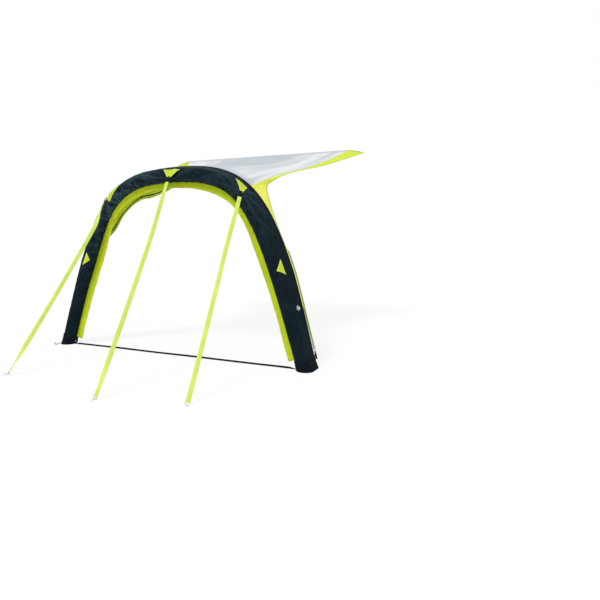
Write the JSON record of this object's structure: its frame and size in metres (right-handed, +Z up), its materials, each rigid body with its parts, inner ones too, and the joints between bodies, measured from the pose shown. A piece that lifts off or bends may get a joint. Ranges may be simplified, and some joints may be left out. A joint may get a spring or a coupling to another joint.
{
  "type": "caravan awning",
  "caption": "Inflatable caravan awning: an air-tube arch on two boots holds a roof sheet slid into the caravan's rail, with side wings and pegged guys.",
  "frame": {"origin": "middle of the keder's bead, where the caravan's awning rail holds the roof's back edge", "axes": "+X along the caravan's wall, +Y into the wall, +Z up; the ground is 2.316 m below the origin"},
  "size_m": [3.0424, 3.4802, 2.4797],
  "materials": {
    "sleeve_polyester": "woven, matt",
    "lime_polyester": "woven, matt",
    "wing_polyester": "woven, satin",
    "roof_polyester": "coated, satin",
    "boot_polyester": "coarse woven, matt",
    "black_webbing": "webbing",
    "lime_webbing": "webbing",
    "clear_tpu": "clear film",
    "keder_pvc": "extruded",
    "acetal": "moulded",
    "zinc_steel": "zinc plated",
    "valve_nylon": "moulded",
    "rubber": "matt"
  },
  "bodies": {
    "awning": {"air_tube": "clear_tpu", "arch_sleeve": "sleeve_polyester", "arch_flap": "lime_polyester", "left_boot": "boot_polyester", "right_boot": "boot_polyester", "roof_panel": "roof_polyester", "keder_tape": "black_webbing", "keder_cord": "keder_pvc", "ground_strap": "black_webbing", "valve_body": "valve_nylon", "valve_diaphragm": "rubber", "left_wing": "wing_polyester", "left_wing_hem": "lime_polyester", "left_tail_strap": "lime_webbing", "left_tail_ring": "rubber", "left_boot_tab": "black_webbing", "left_leg_patch": "lime_polyester", "left_boot_loop": "rubber", "left_strap_eyelet": "zinc_steel", "right_wing": "wing_polyester", "right_wing_hem": "lime_polyester", "right_tail_strap": "lime_webbing", "right_tail_ring": "rubber", "right_boot_tab": "black_webbing", "right_leg_patch": "lime_polyester", "right_boot_loop": "rubber", "right_strap_eyelet": "zinc_steel", "left_guy_tab": "lime_polyester", "left_guy_loop": "black_webbing", "crown_guy_tab": "lime_polyester", "crown_guy_loop": "black_webbing", "right_guy_tab": "lime_polyester", "right_guy_loop": "black_webbing"},
    "left_guy": {"left_guy_buckle": "acetal", "left_guy_webbing": "lime_webbing", "left_guy_ring": "zinc_steel", "left_guy_peg": "zinc_steel"},
    "crown_guy": {"crown_guy_buckle": "acetal", "crown_guy_webbing": "lime_webbing", "crown_guy_ring": "zinc_steel", "crown_guy_peg": "zinc_steel"},
    "right_guy": {"right_guy_buckle": "acetal", "right_guy_webbing": "lime_webbing", "right_guy_ring": "zinc_steel", "right_guy_peg": "zinc_steel"},
    "left_boot_peg": {"left_boot_peg": "zinc_steel"},
    "right_boot_peg": {"right_boot_peg": "zinc_steel"},
    "valve_plunger": {"valve_plunger": "acetal"},
    "valve_cap": {"valve_cap": "valve_nylon"}
  },
  "joints": [
    {"name": "left_guy_swing", "type": "hinge", "parent": "awning", "child": "left_guy", "pos_m": [-0.79511, -2.2003, -0.756], "axis": [-0.8681, 0.4445, -0.2208], "range_deg": [0, 60]},
    {"name": "crown_guy_swing", "type": "hinge", "parent": "awning", "child": "crown_guy", "pos_m": [0.0364, -2.24592, -0.59284], "axis": [-0.9963, -0.0524, -0.0687], "range_deg": [0, 60]},
    {"name": "right_guy_swing", "type": "hinge", "parent": "awning", "child": "right_guy", "pos_m": [0.78776, -2.20024, -0.74889], "axis": [-0.8729, -0.4309, 0.2286], "range_deg": [0, 60]},
    {"name": "left_boot_peg_pull", "type": "slide", "parent": "awning", "child": "left_boot_peg", "axis": [0, 0, 1], "range_m": [0, 0.15]},
    {"name": "right_boot_peg_pull", "type": "slide", "parent": "awning", "child": "right_boot_peg", "axis": [0, 0, 1], "range_m": [0, 0.15]},
    {"name": "valve_plunger_press", "type": "slide", "parent": "awning", "child": "valve_plunger", "axis": [-0.9252, 0.1945, -0.3257], "range_m": [0, 0.003], "stiffness_N_per_m": 400, "springref_m": -0.001},
    {"name": "valve_cap_hinge", "type": "hinge", "parent": "awning", "child": "valve_cap", "pos_m": [1.32745, -2.15336, -1.73959], "axis": [-0.2035, -0.9791, -0.0066], "range_deg": [0, 130]}
  ]
}
